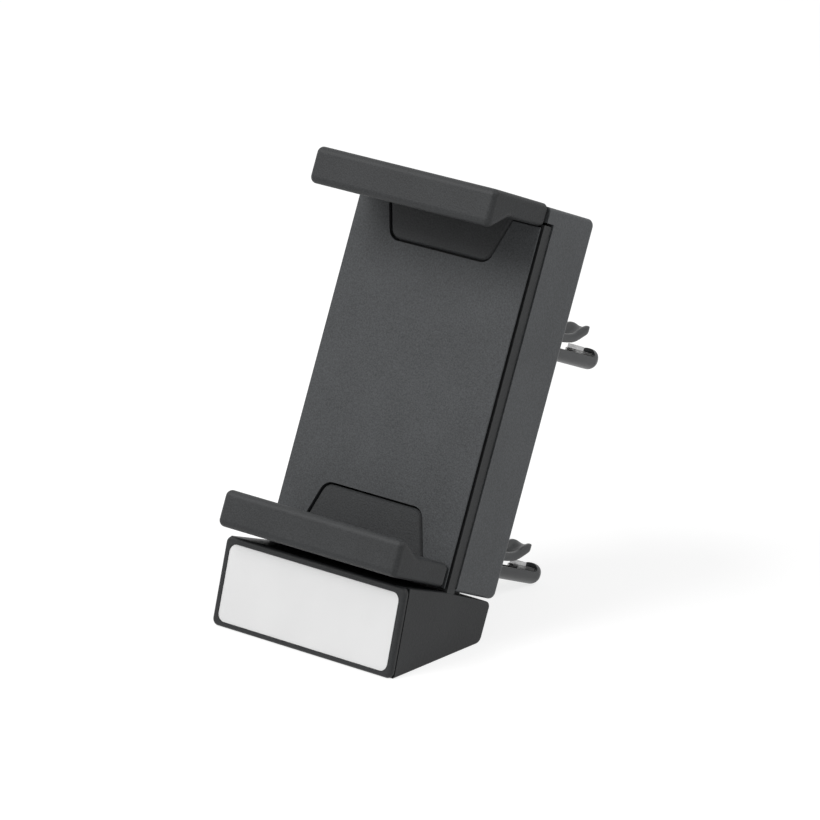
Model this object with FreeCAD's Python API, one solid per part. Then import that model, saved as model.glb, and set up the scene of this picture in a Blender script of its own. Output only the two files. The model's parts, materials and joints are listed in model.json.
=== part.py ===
import FreeCAD
import Part
import math
import os

# Car phone holder: a leaning body on a wedge foot, two jaws and four sprung vent clips.
# Lengths are in millimetres and angles in degrees.
#
# The pieces of the body are drawn upright in the body's own frame and then leaned back:
#   x across the body, d back from the front edge of the side strips, h up from the housing's underside.
# The finished part has +Z up, -Y to the front, and its origin at the middle of the foot's underside.

# Body
LEAN = 23.3                 # backward lean of the body
BODY_WIDTH = 40.4           # across the housing and the foot
BODY_HEIGHT = 66.65         # housing, from underside to top
HOUSING_FRONT = 2.7         # d of the housing's front edge
HOUSING_REAR = 13.87        # d of the housing's rear face
HOUSING_WALL = 1.8
HOUSING_TOP_WALL = 2.7
HOUSING_BROW_FRONT = 0.8    # d where the housing's top steps forward over the strips
HOUSING_REAR_RADIUS = 1.3
HOUSING_EDGE_RADIUS = 0.8
BODY_SET_BACK = 14.72       # datum of the body behind the foot's front edge
BODY_LIFT = 12.04           # datum of the body above the surface it stands on

# Wedge foot
FOOT_FRONT_LEAN = 15.7      # the foot's front face leans back
FOOT_TOP_SLOPE = 19.7       # slope of the foot's top ahead of the body
FOOT_REAR_SETBACK = 0.89    # foot's rear ahead of the housing's rear
FOOT_WALL = 1.8
FOOT_REAR_RADIUS = 1.5
FOOT_REAR_TOP_RADIUS = 1.0
FOOT_EDGE_RADIUS = 0.4
UNDER_GAP = 0.45            # slit between the housing's underside and the foot

# Front bezel and insert plate
BEZEL_THICKNESS = 0.9
BEZEL_CORNER_RADIUS = 1.2
BEZEL_EDGE_RADIUS = 0.6
BEZEL_RIM = 1.12
BEZEL_SPIGOT = 1.4
BEZEL_SEAM_WIDTH = 0.25
BEZEL_SEAM_DEPTH = 0.5
INSERT_POCKET = 0.7
INSERT_THICKNESS = 0.55
INSERT_CORNER_RADIUS = 1.5
SNUG = 0.1                  # clearance of a piece that is pushed into a pocket
PAST = 1.0                  # how far a cut runs past the face it opens
NEAR = 1e-3                 # tolerance when picking out edges

# Middle frame
STRIP_INSET = 0.2           # strips stand in from the sides of the foot
STRIP_FRONT = 0.5
SEAM = 0.14                 # seam between the strips and the housing
STRIP_TOP_GAP = 0.45
STRIP_TOP_RADIUS = 0.5
LIP_THICKNESS = 0.7
FLOOR_FRONT = 5.2           # d of the frame's floor
FLOOR_THICKNESS = 1.3
FLOOR_SIDE_GAP = 0.3        # frame inside the housing walls
BRIDGE_HEIGHT = 5.6         # solid bridge behind the lower jaw

# Face panel
PANEL_PROUD = 0.25          # panel's face ahead of the datum
PANEL_THICKNESS = 1.6
PANEL_FLANGE = 0.2
PANEL_EDGE_RADIUS = 0.12
PANEL_SIDE_INSET = 0.2
PANEL_END_GAP = 0.15
NOTCH_MARGIN = 9.3          # from the side of the body to the corner of a notch's tip
UPPER_NOTCH_REACH = 11.85   # from the top of the body to the tip of the upper notch
LOWER_NOTCH_REACH = 12.1    # from the foot of the body to the tip of the lower notch
NOTCH_SIDE_ANGLE = 20.0
NOTCH_TIP_RADIUS = 2.5

# Jaws
JAW_REACH = 14.73           # lip front ahead of the datum
LIP_HEIGHT = 6.45
LIP_RADIUS = 1.2
UPPER_JAW_RISE = 0.4        # upper jaw's top above the housing's top
UPPER_ARM = 3.95
LOWER_ARM = 4.15
FLARE_ANGLE = 31.0
FLARE_ROOT_RADIUS = 2.5
UPPER_ARM_REAR = 0.25       # d of the upper arm's rear face
LOWER_ARM_GAP = 0.15        # lower arm's end ahead of the panel
LOWER_JAW_LIFT = 0.15       # lower jaw above the housing's underside line
ARM_REAR_RADIUS = 0.9
UPPER_REAR_RADIUS = 0.3
JAW_END_RADIUS = 1.0
JAW_SIDE_INSET = 0.3
TONGUE_GAP = 0.35
TONGUE_CHAMFER = 0.4

# Slider of the upper jaw
JAW_TRAVEL = 27.0
SLIDE_GAP = 0.3             # clearance in front of and behind the slider
SLIDER_SIDE_GAP = 0.2
RAIL_WIDTH = 1.9            # guide rail beside the slider
SLIDER_THICKNESS = 1.6
SLIDER_FOOT = 14.1          # h of the slider's lower end at rest
SLIDER_PAD_MARGIN = 1.4     # slider's pad inside the tongue's tip
HOOK_HEIGHT = 1.9
HOOK_DEPTH = 1.5
LEG_WIDTH = 3.1
CATCH_HEIGHT = 1.5
RIB_THICKNESS = 1.2

# Tension springs
SPRING_ROOM_OUT = 2.4       # from the spring to the slider's leg
SPRING_ROOM_IN = 2.3        # from the spring to the slider's tongue
RIB_OFFSET = 4.3            # rib beside the spring
SPRING_D = 3.6
SPRING_WIRE = 0.22          # wire radius
SPRING_COIL = 1.2           # mean coil radius
SPRING_TURNS = 14
SPRING_SHANK = 1.0
POST_RADIUS = 0.7
POST_PLAY = 0.05
LOWER_POST_H = 8.1
UPPER_POST_DROP = 30.65     # slider's posts below the top of the body

# Screws
HOUSING_SCREW_INSET = 4.9   # from the housing's inner wall
HOUSING_SCREW_RISE = 12.0   # lower pair above the housing's underside
HOUSING_SCREW_DROP = 10.65  # upper pair below the top of the body
HOUSING_SCREW_RADIUS = 1.0
HOUSING_SCREW_LENGTH = 8.0
HOUSING_SCREW_HEAD = 2.0
BOSS_RADIUS = 2.6
JAW_SCREW_RADIUS = 0.8
JAW_SCREW_HEAD = 1.5
LOWER_SCREW_MARGIN = 4.9    # from the corner of the notch's tip
LOWER_SCREW_H = 3.1
SLIDER_SCREW_MARGIN = 2.1   # from the side of the slider's pad
SLIDER_SCREW_DROP = 7.85    # below the top of the body
SCREW_TIP_COVER = 0.6       # plastic left in front of a screw's tip
DRIVE_RADIUS = 0.5
DRIVE_DEPTH = 0.5

# Vent clips
CLIP_X = 7.0
UPPER_ROW_DROP = 20.95      # upper clips below the top of the body
LOWER_ROW_H = 6.3
CLIP_WIDTH = 4.6
CLIP_FOOT_THICKNESS = 1.8
CLIP_FOOT_HALF_WIDTH = 4.3
CLIP_FOOT_BELOW = 4.4
CLIP_FOOT_ABOVE = 3.0
CLIP_ROOT_LENGTH = 3.6
CLIP_ROOT_BELOW = 0.9
CLIP_CORNER_RADIUS = 1.0
EAR_GAP = 0.3
EAR_THICKNESS = 1.4
EAR_RADIUS = 2.1
CLAW_LOW = 0.3              # underside of the claw above the row's datum
CLAW_THICKNESS = 1.7
CLAW_STRAIGHT = 15.9        # from the housing's rear to where the claw turns up
CLAW_TIP = 22.6             # d from the housing's rear to the claw's tip
CLAW_TIP_RISE = 3.9
CLAW_TIP_THICKNESS = 0.7
CLAW_DISH_RADIUS = 4.2
CLAW_DISH_DEPTH = 0.35
CLAW_DISH_SLOPE = 18.0
CLAW_UNDER_BEND = 0.2       # share of the tip's rise halfway along the bend's underside
CLAW_UNDER_END = 0.55       # share of the tip's rise close to the tip
CLAW_OVER_BEND = 0.18       # share of the tip's rise halfway along the bend's top
CLAW_NOSE_BACK = 0.3        # nose arc, as shares of the tip's thickness
CLAW_NOSE_DROP = 0.05
FULL_ROUND = 0.98           # share of a half width that a round end takes
PIN_BACK = 6.9              # hinge pin behind the housing's rear
PIN_DROP = 2.15             # hinge pin below the row's datum
PIN_RADIUS = 0.75
PIN_CLEARANCE = 0.05
LEVER_RIM = 0.95            # lever's rim below the row's datum
LEVER_HEIGHT = 2.4
LEVER_WALL = 0.7
LEVER_END = 26.8            # d from the housing's rear to the lever's tip
LEVER_END_RADIUS = 2.1
LEVER_TOP_RADIUS = 0.6
LEVER_TIP_EDGE_RADIUS = 0.27
LEVER_EYE_RADIUS = 1.6
LEVER_HEEL = 3.0            # heel ahead of the pin
LEVER_HEEL_WEB = 1.2
COIL_WINDOW = 1.9           # open space round the spring, ahead of the pin
PAD_START = 16.9
PAD_END = 21.8
PAD_TOP = 0.3               # pad's top below the row's datum
PAD_SIDE_GAP = 0.25
TORSION_WIRE = 0.18
TORSION_COIL = 1.1
TORSION_TURNS = 3
TORSION_PITCH = 0.55
TORSION_LEG = 2.5
TORSION_REST_GAP = 0.1
CLIP_SCREW_RISE = 0.95
CLIP_SCREW_RADIUS = 0.8
CLIP_SCREW_HEAD = 1.6
CLIP_SCREW_HEAD_HEIGHT = 1.1
CLIP_SCREW_BITE = 2.6

# Sizes that follow from the ones above
HALF_WIDTH = BODY_WIDTH / 2
PANEL_FRONT = -PANEL_PROUD
PANEL_BACK = PANEL_FRONT + PANEL_THICKNESS
STRIP_BACK = HOUSING_FRONT - SEAM
STRIP_HALF_WIDTH = HALF_WIDTH - STRIP_INSET
CEILING = BODY_HEIGHT - HOUSING_TOP_WALL
STRIP_TOP = CEILING - STRIP_TOP_GAP
FOOT_TOP = -UNDER_GAP
FLOOR_BACK = FLOOR_FRONT + FLOOR_THICKNESS
HOUSING_INNER = HALF_WIDTH - HOUSING_WALL
FRAME_HALF_WIDTH = HOUSING_INNER - FLOOR_SIDE_GAP
HOUSING_INNER_REAR = HOUSING_REAR - HOUSING_WALL
SLIDER_FRONT = PANEL_BACK + SLIDE_GAP
SLIDER_BACK = SLIDER_FRONT + SLIDER_THICKNESS
RAIL_INNER = FRAME_HALF_WIDTH - RAIL_WIDTH
GUIDE_FRONT = SLIDER_BACK + SLIDE_GAP
UPPER_JAW_TOP = BODY_HEIGHT + UPPER_JAW_RISE
UPPER_ARM_UNDER = UPPER_JAW_TOP - UPPER_ARM
NOTCH_TIP_HALF_WIDTH = HALF_WIDTH - NOTCH_MARGIN
SLIDER_HALF_WIDTH = RAIL_INNER - SLIDER_SIDE_GAP
SLIDER_PAD_HALF_WIDTH = NOTCH_TIP_HALF_WIDTH - SLIDER_PAD_MARGIN
LEG_INNER = SLIDER_HALF_WIDTH - LEG_WIDTH
SPRING_X = LEG_INNER - SPRING_ROOM_OUT
TONGUE_SLOT_INNER = SPRING_X - SPRING_ROOM_IN
UPPER_POST_H = BODY_HEIGHT - UPPER_POST_DROP
HOUSING_SCREW_X = HOUSING_INNER - HOUSING_SCREW_INSET
HOUSING_SCREW_H = (HOUSING_SCREW_RISE, BODY_HEIGHT - HOUSING_SCREW_DROP)
LOWER_SCREW_X = NOTCH_TIP_HALF_WIDTH - LOWER_SCREW_MARGIN
SLIDER_SCREW_X = SLIDER_PAD_HALF_WIDTH - SLIDER_SCREW_MARGIN
SLIDER_SCREW_H = BODY_HEIGHT - SLIDER_SCREW_DROP
CLIP_ROWS = {"upper": BODY_HEIGHT - UPPER_ROW_DROP, "lower": LOWER_ROW_H}
PANEL_TOP = UPPER_ARM_UNDER - PANEL_END_GAP
SIN = math.sin(math.radians(LEAN))
COS = math.cos(math.radians(LEAN))


def body_point(d, h):
    """Place of a body point in the standing frame, measured from the foot's front edge."""
    return (BODY_SET_BACK + d * COS + h * SIN, BODY_LIFT - d * SIN + h * COS)


def foot_rear_bottom():
    """Y where the foot's rear face, parallel to the body, meets the ground."""
    d = HOUSING_REAR - FOOT_REAR_SETBACK
    h = (d * SIN - BODY_LIFT) / COS
    return body_point(d, h)[0]


FOOT_DEPTH = foot_rear_bottom()


def outline(points):
    """Closed flat outline of lines with rounded corners; each point is (u, v, radius)."""
    count = len(points)
    starts = []
    ends = []
    mids = []
    for i in range(count):
        u, v, radius = points[i]
        before = points[i - 1]
        after = points[(i + 1) % count]
        corner = FreeCAD.Vector(u, v, 0)
        back = (FreeCAD.Vector(before[0], before[1], 0) - corner).normalize()
        ahead = (FreeCAD.Vector(after[0], after[1], 0) - corner).normalize()
        if radius <= 0:
            starts.append(corner)
            ends.append(corner)
            mids.append(None)
            continue
        half = back.getAngle(ahead) / 2
        run = radius / math.tan(half)
        middle = (back + ahead).normalize()
        starts.append(corner + back * run)
        ends.append(corner + ahead * run)
        mids.append(corner + middle * (radius / math.sin(half) - radius))
    edges = []
    for i in range(count):
        if mids[i] is not None:
            edges.append(Part.Arc(starts[i], mids[i], ends[i]).toShape())
        following = starts[(i + 1) % count]
        if ends[i].distanceToPoint(following) > 1e-6:
            edges.append(Part.LineSegment(ends[i], following).toShape())
    return Part.Face(Part.Wire(edges))


def across(points, x0, x1):
    """Prism along x of an outline drawn in (d, h)."""
    face = outline(points)
    turn = FreeCAD.Placement(FreeCAD.Vector(x0, 0, 0), FreeCAD.Rotation(0.5, 0.5, 0.5, 0.5))
    face.Placement = turn
    return face.extrude(FreeCAD.Vector(x1 - x0, 0, 0))


def back_from(points, d0, d1):
    """Prism along d of an outline drawn in (x, h)."""
    face = outline(points)
    quarter = FreeCAD.Rotation(FreeCAD.Vector(1, 0, 0), 90)
    face.Placement = FreeCAD.Placement(FreeCAD.Vector(0, d0, 0), quarter)
    return face.extrude(FreeCAD.Vector(0, d1 - d0, 0))


def up_from(points, h0, h1):
    """Prism along h of an outline drawn in (x, d)."""
    face = outline(points)
    face.translate(FreeCAD.Vector(0, 0, h0))
    return face.extrude(FreeCAD.Vector(0, 0, h1 - h0))


def block(x0, x1, d0, d1, h0, h1):
    return Part.makeBox(x1 - x0, d1 - d0, h1 - h0, FreeCAD.Vector(x0, d0, h0))


def rod(radius, start, end):
    """Round rod between two points."""
    a = FreeCAD.Vector(*start)
    run = FreeCAD.Vector(*end) - a
    return Part.makeCylinder(radius, run.Length, a, run)


def cone(r0, r1, start, end):
    a = FreeCAD.Vector(*start)
    run = FreeCAD.Vector(*end) - a
    return Part.makeCone(r0, r1, run.Length, a, run)


def both_sides(shape):
    """A piece and its mirror image about the middle plane."""
    return [shape, shape.mirror(FreeCAD.Vector(0, 0, 0), FreeCAD.Vector(1, 0, 0))]


def join(shapes):
    return shapes[0].multiFuse(shapes[1:]).removeSplitter()


def trim(shape, tools):
    for tool in tools:
        shape = shape.cut(tool)
    return shape


def edges_where(shape, test):
    """Edges whose ends and middle all pass the test."""
    found = []
    for edge in shape.Edges:
        middle = edge.valueAt((edge.FirstParameter + edge.LastParameter) / 2)
        places = [vertex.Point for vertex in edge.Vertexes] + [middle]
        if all(test(place) for place in places):
            found.append(edge)
    return found


def stand(shape):
    """Lean a piece of the body back and set it over the foot."""
    placed = shape.copy()
    placed.rotate(FreeCAD.Vector(0, 0, 0), FreeCAD.Vector(1, 0, 0), -LEAN)
    placed.translate(FreeCAD.Vector(0, BODY_SET_BACK, BODY_LIFT))
    return placed


def centre_on_foot(shape):
    """Move a standing piece so that the origin is the middle of the foot's underside."""
    moved = shape.copy()
    moved.translate(FreeCAD.Vector(0, -FOOT_DEPTH / 2, 0))
    return moved


# Wedge foot, drawn standing, with its front edge on the x axis

def foot_outline(inset):
    """Side outline of the foot as (y, z, radius); inset moves every side inward."""
    front = math.tan(math.radians(FOOT_FRONT_LEAN))
    slope = math.tan(math.radians(FOOT_TOP_SLOPE))
    bend = body_point(STRIP_FRONT, FOOT_TOP)
    top = (bend[1] + slope * bend[0]) / (1 + slope * front)
    rear_top = body_point(HOUSING_REAR - FOOT_REAR_SETBACK, FOOT_TOP)
    corners = [
        (0.0, 0.0, 0.0),
        (front * top, top, 0.0),
        (bend[0], bend[1], 0.0),
        (rear_top[0], rear_top[1], FOOT_REAR_TOP_RADIUS),
        (FOOT_DEPTH, 0.0, FOOT_REAR_RADIUS),
    ]
    if inset == 0:
        return corners
    moved = []
    count = len(corners)
    for i in range(count):
        here = FreeCAD.Vector(corners[i][0], corners[i][1], 0)
        before = FreeCAD.Vector(corners[i - 1][0], corners[i - 1][1], 0)
        after_corner = corners[(i + 1) % count]
        after = FreeCAD.Vector(after_corner[0], after_corner[1], 0)
        back = (before - here).normalize()
        ahead = (after - here).normalize()
        half = back.getAngle(ahead) / 2
        step = (back + ahead).normalize() * (inset / math.sin(half))
        moved.append((here.x + step.x, here.y + step.y, 0.0))
    return moved


def face_frame(shape):
    """Lean a piece drawn against the foot's upright front face back with that face."""
    placed = shape.copy()
    placed.rotate(FreeCAD.Vector(0, 0, 0), FreeCAD.Vector(1, 0, 0), -FOOT_FRONT_LEAN)
    return placed


def front_face_height():
    return foot_outline(0)[1][1] / math.cos(math.radians(FOOT_FRONT_LEAN))


def front_plate(inset, radius, depth0, depth1, lift=0.0):
    """Plate parallel to the foot's front face, with its rim set in from the foot's outline."""
    height = front_face_height()
    half = HALF_WIDTH - inset
    corners = [
        (-half, inset + lift, radius),
        (half, inset + lift, radius),
        (half, height - inset, radius),
        (-half, height - inset, radius),
    ]
    return face_frame(back_from(corners, depth0, depth1))


def make_foot():
    solid = across(foot_outline(0), -HALF_WIDTH, HALF_WIDTH)
    reach = BODY_WIDTH + FOOT_DEPTH
    ahead = face_frame(block(-reach, reach, -reach, BEZEL_THICKNESS, -reach, reach))
    solid = solid.cut(ahead)
    side_edges = edges_where(solid, lambda p: abs(abs(p.x) - HALF_WIDTH) < NEAR and p.y > BEZEL_SPIGOT)
    tops = [edge for edge in side_edges if edge.CenterOfMass.z > FOOT_WALL]
    solid = solid.makeFillet(FOOT_EDGE_RADIUS, tops)
    hollow = across(foot_outline(FOOT_WALL), -HALF_WIDTH + FOOT_WALL, HALF_WIDTH - FOOT_WALL)
    mouth = front_plate(FOOT_WALL, 0, 0, FOOT_WALL + BEZEL_SPIGOT)
    ring = front_plate(-PAST, 0, BEZEL_THICKNESS, BEZEL_THICKNESS + BEZEL_SEAM_WIDTH)
    core = front_plate(BEZEL_SEAM_DEPTH, 0, 0, BEZEL_THICKNESS + 2 * BEZEL_SEAM_WIDTH)
    return trim(solid, [hollow, mouth, ring.cut(core)])


def make_bezel():
    lean = math.tan(math.radians(FOOT_FRONT_LEAN))
    lift = BEZEL_THICKNESS * lean
    plate = front_plate(0, BEZEL_CORNER_RADIUS, 0, BEZEL_THICKNESS, lift)
    front_edges = edges_where(plate, lambda p: abs(p.y - lean * p.z) < NEAR)
    plate = plate.makeFillet(BEZEL_EDGE_RADIUS, front_edges)
    spigot = front_plate(FOOT_WALL + SNUG, 0, BEZEL_THICKNESS / 2, BEZEL_THICKNESS + BEZEL_SPIGOT)
    pocket = front_plate(BEZEL_RIM, INSERT_CORNER_RADIUS, -PAST, INSERT_POCKET)
    return join([plate, spigot]).cut(pocket)


def make_insert():
    return front_plate(
        BEZEL_RIM + SNUG / 2,
        INSERT_CORNER_RADIUS - SNUG / 2,
        INSERT_POCKET - INSERT_THICKNESS,
        INSERT_POCKET,
    )


# Middle frame: side strips, floor, guides, bosses and the foot in one moulding

def strip_section_top():
    """Side outline of the strips in (d, h)."""
    base = FOOT_TOP - FOOT_WALL / 2
    return [
        (PANEL_BACK, base, 0),
        (STRIP_BACK, base, 0),
        (STRIP_BACK, STRIP_TOP, STRIP_TOP_RADIUS),
        (PANEL_BACK, STRIP_TOP, 0),
    ]


def make_frame():
    base = FOOT_TOP - FOOT_WALL / 2
    frame_top = STRIP_TOP - STRIP_TOP_GAP
    pieces = []
    pieces += both_sides(across(strip_section_top(), RAIL_INNER, STRIP_HALF_WIDTH))
    lip_inner = STRIP_HALF_WIDTH - LIP_THICKNESS
    pieces += both_sides(block(lip_inner, STRIP_HALF_WIDTH, STRIP_FRONT, PANEL_BACK, base, STRIP_TOP))
    pieces += both_sides(block(RAIL_INNER, FRAME_HALF_WIDTH, PANEL_BACK, FLOOR_BACK, base, frame_top))
    pieces.append(block(-FRAME_HALF_WIDTH, FRAME_HALF_WIDTH, FLOOR_FRONT, FLOOR_BACK, base, frame_top))
    pieces.append(block(-STRIP_HALF_WIDTH, STRIP_HALF_WIDTH, PANEL_BACK, STRIP_BACK, base, BRIDGE_HEIGHT))
    pieces.append(block(-FRAME_HALF_WIDTH, FRAME_HALF_WIDTH, PANEL_BACK, FLOOR_BACK, base, BRIDGE_HEIGHT))
    stop_top = SLIDER_FOOT - SLIDE_GAP
    stop_base = stop_top - CATCH_HEIGHT
    pieces += both_sides(block(LEG_INNER, RAIL_INNER, SLIDER_FRONT, FLOOR_FRONT, stop_base, stop_top))
    catch_base = SLIDER_FOOT + HOOK_HEIGHT + JAW_TRAVEL + SLIDE_GAP
    catch_top = catch_base + CATCH_HEIGHT
    pieces += both_sides(block(LEG_INNER, RAIL_INNER, GUIDE_FRONT, FLOOR_FRONT, catch_base, catch_top))
    rib_outer = SPRING_X - RIB_OFFSET
    rib_inner = rib_outer - RIB_THICKNESS
    pieces += both_sides(block(rib_inner, rib_outer, GUIDE_FRONT, FLOOR_FRONT, BRIDGE_HEIGHT, frame_top))
    post_front = SPRING_D - POST_RADIUS
    pieces += both_sides(
        rod(POST_RADIUS, (SPRING_X, post_front, LOWER_POST_H), (SPRING_X, FLOOR_FRONT, LOWER_POST_H))
    )
    for h in HOUSING_SCREW_H:
        start = (HOUSING_SCREW_X, FLOOR_FRONT, h)
        pieces += both_sides(rod(BOSS_RADIUS, start, (HOUSING_SCREW_X, HOUSING_INNER_REAR, h)))
    body = join(pieces)
    holes = []
    for h in HOUSING_SCREW_H:
        holes += both_sides(housing_screw_hole(h))
    holes += both_sides(lower_screw_body())
    body = stand(trim(body, holes))
    return centre_on_foot(join([body, make_foot()]))


# Rear housing

def make_housing():
    sides = [
        (HOUSING_FRONT, 0, 0),
        (HOUSING_REAR, 0, HOUSING_REAR_RADIUS),
        (HOUSING_REAR, BODY_HEIGHT, HOUSING_REAR_RADIUS),
        (HOUSING_BROW_FRONT, BODY_HEIGHT, 0),
        (HOUSING_BROW_FRONT, CEILING, 0),
        (HOUSING_FRONT, CEILING, 0),
    ]
    shell = across(sides, -HALF_WIDTH, HALF_WIDTH)
    outer = edges_where(
        shell,
        lambda p: abs(abs(p.x) - HALF_WIDTH) < NEAR
        and (p.y > HOUSING_FRONT + NEAR or p.z > BODY_HEIGHT - NEAR or p.z < NEAR),
    )
    shell = shell.makeFillet(HOUSING_EDGE_RADIUS, outer)
    inner = HOUSING_INNER
    hollow = block(-inner, inner, HOUSING_FRONT - PAST, HOUSING_INNER_REAR, HOUSING_WALL, CEILING)
    neck_back = FLOOR_BACK + FLOOR_SIDE_GAP
    neck = block(-inner, inner, HOUSING_FRONT - PAST, neck_back, -PAST, HOUSING_WALL + PAST)
    slot_half = RAIL_INNER
    slot = block(-slot_half, slot_half, -PAST, GUIDE_FRONT, CEILING - PAST, BODY_HEIGHT + PAST)
    cuts = [hollow, neck, slot]
    for h in HOUSING_SCREW_H:
        cuts += both_sides(housing_screw_hole(h))
    for row in CLIP_ROWS.values():
        cuts += both_sides(clip_screw_hole(row))
    return centre_on_foot(stand(trim(shell, cuts)))


# Face panel with a notch at each end for the jaws' tongues

def tongue_outline(tip_h, away, shrink, root_h):
    """Trapezoid in (x, h) that widens from its tip; away is +1 when the root lies above the tip."""
    side = math.tan(math.radians(NOTCH_SIDE_ANGLE))
    slant = shrink / math.cos(math.radians(NOTCH_SIDE_ANGLE)) - shrink * side
    tip_half = NOTCH_TIP_HALF_WIDTH - slant
    tip = tip_h + away * shrink
    root_half = tip_half + side * abs(root_h - tip)
    return [
        (-tip_half, tip, NOTCH_TIP_RADIUS - shrink),
        (tip_half, tip, NOTCH_TIP_RADIUS - shrink),
        (root_half, root_h, 0),
        (-root_half, root_h, 0),
    ]


def make_panel():
    half = STRIP_HALF_WIDTH
    body_half = half - LIP_THICKNESS - SNUG
    flange_back = PANEL_FRONT + PANEL_FLANGE
    low = LOWER_JAW_LIFT
    flange_half = half - PANEL_SIDE_INSET
    flange = block(-flange_half, flange_half, PANEL_FRONT, flange_back, low, PANEL_TOP)
    edges = edges_where(flange, lambda p: abs(p.y - PANEL_FRONT) < NEAR)
    flange = flange.makeFillet(PANEL_EDGE_RADIUS, edges)
    core = block(-body_half, body_half, PANEL_FRONT + PANEL_FLANGE / 2, PANEL_BACK, low, PANEL_TOP)
    panel = join([flange, core])
    upper_tip = BODY_HEIGHT - UPPER_NOTCH_REACH
    upper = tongue_outline(upper_tip, 1, 0, BODY_HEIGHT)
    lower = tongue_outline(LOWER_NOTCH_REACH, -1, 0, -PAST)
    cuts = [back_from(points, PANEL_FRONT - PAST, PANEL_BACK + PAST) for points in (upper, lower)]
    return centre_on_foot(stand(trim(panel, cuts)))


# Jaws

def jaw_section(arm, rear, rear_radius):
    """Hooked side section as (d, k, radius), with k measured from the jaw's outer face."""
    turn = math.radians(90 + FLARE_ANGLE) / 2
    corner = LIP_HEIGHT + LIP_RADIUS * (math.tan(turn) - 1)
    root = -JAW_REACH + (corner - arm) / math.tan(math.radians(FLARE_ANGLE))
    return [
        (-JAW_REACH, 0, LIP_RADIUS),
        (-JAW_REACH, corner, LIP_RADIUS),
        (root, arm, FLARE_ROOT_RADIUS),
        (rear, arm, rear_radius),
        (rear, 0, rear_radius),
    ]


def jaw_bar(section):
    """Full-width hooked bar with rounded ends."""
    half = HALF_WIDTH - JAW_SIDE_INSET
    bar = across(section, -half, half)
    ends = edges_where(bar, lambda p: abs(abs(p.x) - half) < NEAR)
    return bar.makeFillet(JAW_END_RADIUS, ends)


def tongue(points):
    """Tongue with a chamfer round its face."""
    plate = back_from(points, PANEL_FRONT, PANEL_BACK)
    face_edges = edges_where(plate, lambda p: abs(p.y - PANEL_FRONT) < NEAR)
    return plate.makeChamfer(TONGUE_CHAMFER, face_edges)


def make_lower_jaw():
    section = jaw_section(LOWER_ARM, PANEL_FRONT - LOWER_ARM_GAP, ARM_REAR_RADIUS)
    bar = jaw_bar([(d, LOWER_JAW_LIFT + k, radius) for d, k, radius in section])
    plate = tongue(tongue_outline(LOWER_NOTCH_REACH, -1, TONGUE_GAP, LOWER_JAW_LIFT))
    root = block(-NOTCH_TIP_HALF_WIDTH, NOTCH_TIP_HALF_WIDTH, PANEL_FRONT - PAST, PANEL_BACK,
                 LOWER_JAW_LIFT + ARM_REAR_RADIUS, LOWER_JAW_LIFT + LOWER_ARM - ARM_REAR_RADIUS)
    jaw = trim(join([bar, plate, root]), both_sides(lower_screw_body()))
    return centre_on_foot(stand(jaw))


def make_upper_jaw():
    section = jaw_section(UPPER_ARM, UPPER_ARM_REAR + JAW_END_RADIUS, 0)
    bar = jaw_bar([(d, UPPER_JAW_TOP - k, radius) for d, k, radius in section])
    base = UPPER_ARM_UNDER - PAST
    bar = bar.cut(block(-HALF_WIDTH, HALF_WIDTH, UPPER_ARM_REAR, HOUSING_REAR, base, UPPER_JAW_TOP + PAST))
    rear_edges = edges_where(bar, lambda p: abs(p.y - UPPER_ARM_REAR) < NEAR)
    bar = bar.makeFillet(UPPER_REAR_RADIUS, rear_edges)
    upper_tip = BODY_HEIGHT - UPPER_NOTCH_REACH
    plate = tongue(tongue_outline(upper_tip, 1, TONGUE_GAP, BODY_HEIGHT - UPPER_REAR_RADIUS))
    jaw = trim(join([bar, plate]), both_sides(slider_screw_body()))
    return centre_on_foot(stand(jaw))


# Slider behind the face panel, screwed to the upper jaw's tongue

def make_slider():
    half = SLIDER_HALF_WIDTH
    top = BODY_HEIGHT - UPPER_REAR_RADIUS
    plate = block(-half, half, SLIDER_FRONT, SLIDER_BACK, SLIDER_FOOT, top)
    pad_half = SLIDER_PAD_HALF_WIDTH
    pad_base = BODY_HEIGHT - UPPER_NOTCH_REACH + NOTCH_TIP_RADIUS
    pad = block(-pad_half, pad_half, PANEL_BACK, SLIDER_FRONT, pad_base, top)
    hook_back = SLIDER_BACK + HOOK_DEPTH
    hook_top = SLIDER_FOOT + HOOK_HEIGHT
    hooks = both_sides(block(LEG_INNER, half, SLIDER_FRONT, hook_back, SLIDER_FOOT, hook_top))
    post_back = SPRING_D + POST_RADIUS
    posts = both_sides(
        rod(POST_RADIUS, (SPRING_X, SLIDER_FRONT, UPPER_POST_H), (SPRING_X, post_back, UPPER_POST_H))
    )
    slot_base = SLIDER_FOOT - PAST
    slot_top = UPPER_POST_H - POST_RADIUS * 2
    gaps = both_sides(
        block(TONGUE_SLOT_INNER, LEG_INNER, SLIDER_FRONT - PAST, SLIDER_BACK + PAST, slot_base, slot_top)
    )
    slider = trim(join([plate, pad] + hooks), gaps)
    slider = join([slider] + posts)
    slider = trim(slider, both_sides(slider_screw_body()))
    return centre_on_foot(stand(slider))


# Tension springs between the posts of the frame and of the slider

def coil_spring(turns, height, radius, wire):
    """Helical coil about the z axis, starting at its foot on the +x side."""
    path = Part.Wire(Part.makeHelix(height / turns, height, radius).Edges)
    rise = height / turns / (2 * math.pi * radius)
    direction = FreeCAD.Vector(0, 1, rise)
    section = Part.Wire([Part.makeCircle(wire, FreeCAD.Vector(radius, 0, 0), direction)])
    return path.makePipeShell([section], True, True)


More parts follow.
